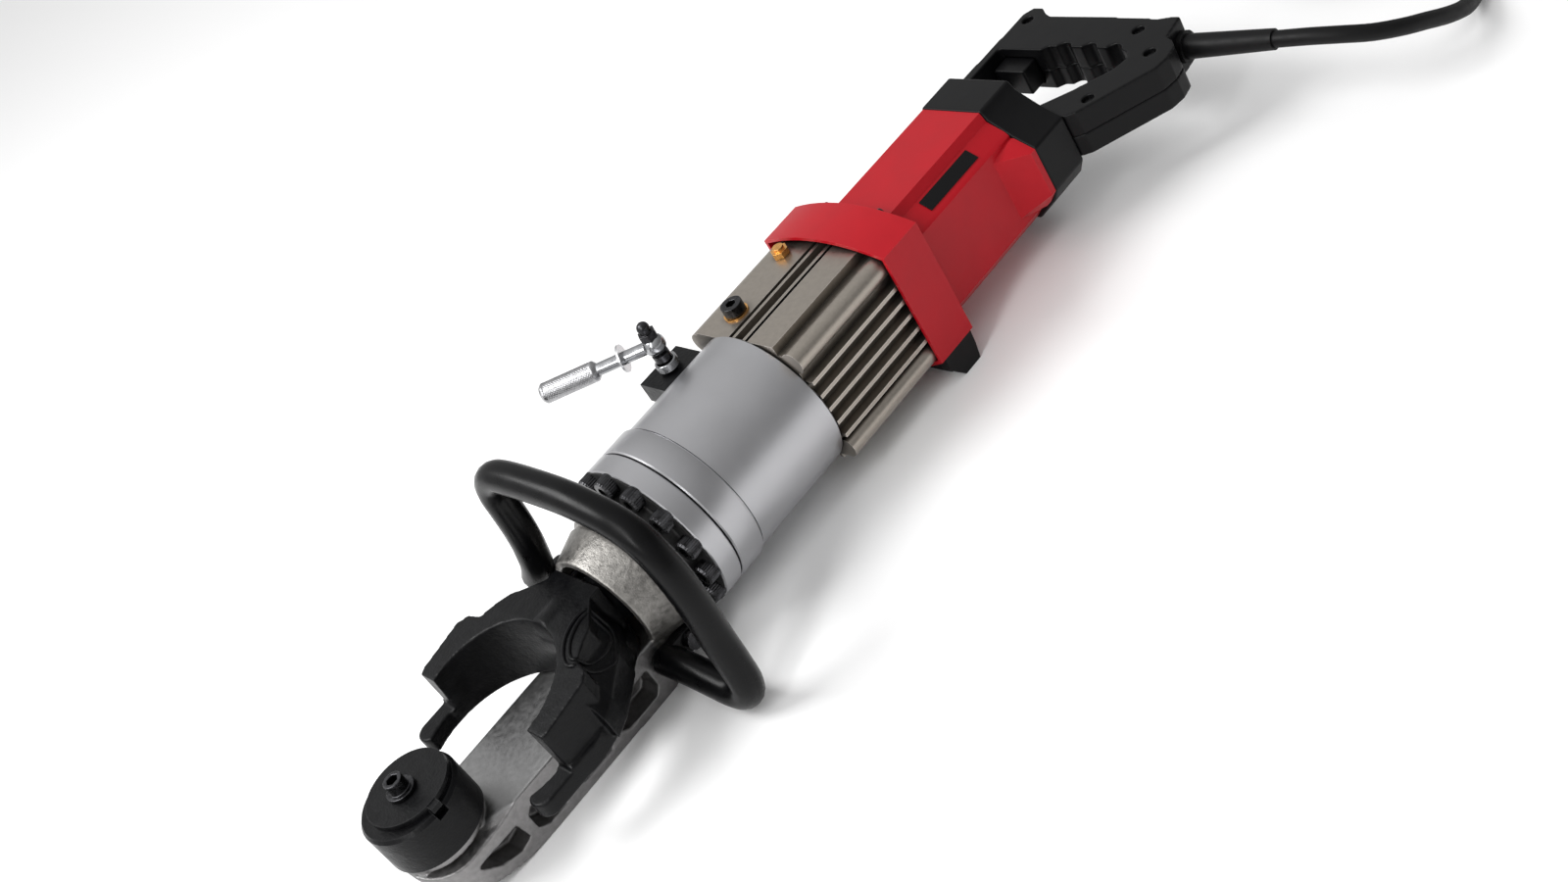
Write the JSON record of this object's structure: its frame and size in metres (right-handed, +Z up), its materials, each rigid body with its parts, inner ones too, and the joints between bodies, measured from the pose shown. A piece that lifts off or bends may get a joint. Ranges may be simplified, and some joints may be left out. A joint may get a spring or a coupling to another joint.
{
  "type": "rebar bender",
  "caption": "Portable electro-hydraulic rebar bender: sliding fork, forming roller, carrying bail, release lever, motor, D-handle and mains lead.",
  "frame": {"origin": "centre of the flat underside of the frame arm, on the surface that the tool stands on", "axes": "+X along the tool towards the rear handle, +Y to the left side seen from behind the roller, +Z up along the bending roller's axis"},
  "size_m": [0.9041, 0.3038, 0.1535],
  "materials": {
    "frame": "sand-cast, machined top face",
    "black_steel": "satin black oxide",
    "dark_screw": "dark satin",
    "barrel": "fine turned",
    "rod": "ground and chromed",
    "steel": "machined",
    "zinc": "bright zinc",
    "bronze": "turned",
    "brass": "turned",
    "copper": "wound",
    "alu": "cast and blasted",
    "red": "satin red paint",
    "black_plastic": "fine grain",
    "seal": "smooth",
    "cord": "smooth rubber",
    "bail": "matte black coat",
    "plate": "smooth"
  },
  "bodies": {
    "housing": {"frame": "frame", "forming_sleeve": "black_steel", "roller_cap": "black_steel", "roller_screw": "dark_screw", "rod_bush": "bronze", "cylinder_barrel": "barrel", "flange_screws": "dark_screw", "bail_handle": "bail", "bail_screws": "dark_screw", "valve_block": "black_steel", "pump_housing": "alu", "oil_plug": "dark_screw", "oil_plug_washer": "brass", "bleed_plug": "brass", "pump_bearings": "steel", "pump_plungers": "rod", "plunger_barrels": "steel", "gear_plate": "steel", "skirt": "red", "skirt_screws": "dark_screw", "motor_shell": "red", "label_plate": "plate", "stator": "copper", "motor_bearings": "steel", "carbon_brushes": "dark_screw", "end_cap": "black_plastic", "handle_upper": "black_plastic", "handle_lower": "black_plastic", "handle_screws": "dark_screw", "switch_body": "black_plastic", "cord_guard": "cord", "power_cord": "cord", "cord_coil": "cord", "cord_tail": "cord", "plug_body": "cord", "plug_pins": "zinc", "rear_foot": "black_plastic", "foot_screws": "dark_screw"},
    "fork_slide": {"bending_fork": "black_steel", "fork_screw": "dark_screw", "piston_rod": "rod", "piston": "steel", "piston_seals": "seal", "return_spring": "steel"},
    "valve_lever": {"valve_stem": "dark_screw", "lever_hub": "zinc", "lever_rod": "zinc", "lever_grip": "zinc", "lever_ring": "steel", "acorn_nut": "dark_screw", "detent_spring": "steel"},
    "rotor": {"armature": "copper", "commutator": "copper", "cooling_fan": "black_plastic"},
    "pump_drive": {"pump_shaft": "steel", "drive_gear": "steel"},
    "trigger": {"trigger": "black_plastic"}
  },
  "joints": [
    {"name": "fork_slide", "type": "slide", "parent": "housing", "child": "fork_slide", "axis": [-1, 0, 0], "range_m": [0, 0.052], "deforming": ["return_spring"]},
    {"name": "valve_lever_turn", "type": "hinge", "parent": "housing", "child": "valve_lever", "pos_m": [0.181, 0.044, 0.1104], "axis": [0, 0, -1], "range_deg": [0, 80]},
    {"name": "motor_spin", "type": "hinge", "parent": "housing", "child": "rotor", "pos_m": [0.353, 0, 0.056], "axis": [1, 0, 0], "continuous": true},
    {"name": "pump_spin", "type": "hinge", "parent": "housing", "child": "pump_drive", "pos_m": [0.283, 0, 0.0368], "axis": [1, 0, 0], "continuous": true},
    {"name": "trigger_press", "type": "slide", "parent": "housing", "child": "trigger", "axis": [1, 0, 0], "range_m": [0, 0.005], "stiffness_N_per_m": 1500, "springref_m": -0.004}
  ],
  "couplings": [
    {"joint": "pump_spin", "follows": "motor_spin", "ratio": -0.33333}
  ]
}
